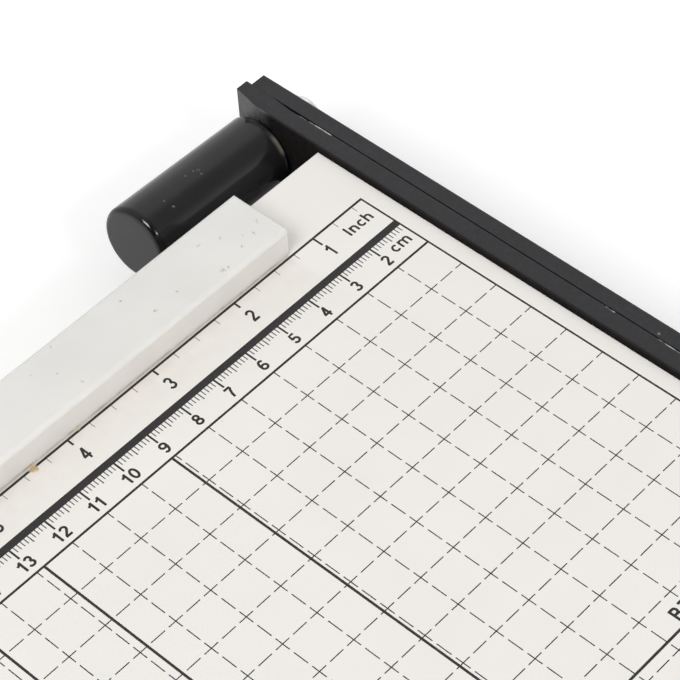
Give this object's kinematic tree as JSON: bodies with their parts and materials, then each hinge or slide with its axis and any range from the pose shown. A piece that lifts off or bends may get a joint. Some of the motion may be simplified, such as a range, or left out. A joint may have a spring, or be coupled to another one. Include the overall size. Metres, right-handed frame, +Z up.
{
  "type": "paper trimmer",
  "caption": "Lever paper trimmer: ruled board with a fence, a fixed bed knife on its right side, and a cutter arm on a sprung pivot with a handle and a latch.",
  "frame": {"origin": "on the table, under the middle of the whole trimmer's box with the arm closed", "axes": "+X to the right, towards the cutter arm; +Y away from the user, along the cut towards the pivot; +Z up"},
  "size_m": [0.2704, 0.5083, 0.0722],
  "materials": {
    "board_white": "off-white painted board with black printed rules",
    "fence_white": "pale grey-white, fine matt",
    "black_enamel": "satin black enamel, bare at the ground edges",
    "black_plastic": "glossy black, lightly scratched",
    "zinc": "bright zinc",
    "spring_steel": "oiled spring wire",
    "bronze": "dark oil-soaked sintered bronze",
    "rubber": "matt black rubber"
  },
  "bodies": {
    "base": {"baseboard": "board_white", "fence_bar": "fence_white", "fence_screws": "zinc", "bed_knife": "black_enamel", "bed_knife_screws": "zinc", "foot_front_left": "rubber", "foot_front_right": "rubber", "foot_rear_left": "rubber", "foot_rear_right": "rubber", "foot_washers": "zinc", "foot_screws": "zinc", "pivot_bush": "bronze", "spring_housing": "black_plastic", "stop_pin": "zinc", "stop_sleeve": "rubber"},
    "arm": {"cutter_arm": "black_enamel", "pivot_bolt": "zinc", "head_washer": "zinc", "pivot_spring": "spring_steel", "nut_washer": "zinc", "lock_nut": "zinc", "grip_inner": "black_plastic", "grip_outer": "black_plastic", "grip_screws": "zinc", "latch_washer": "zinc", "latch_screw": "zinc"},
    "latch": {"latch_hook": "black_enamel"}
  },
  "joints": [
    {"name": "arm_hinge", "type": "hinge", "parent": "base", "child": "arm", "pos_m": [0.11947, 0.24496, 0.0214], "axis": [-1, 0, 0], "range_deg": [0, 65]},
    {"name": "latch_hinge", "type": "hinge", "parent": "arm", "child": "latch", "pos_m": [0.12487, -0.11756, 0.02925], "axis": [1, 0, 0], "range_deg": [0, 45]}
  ]
}
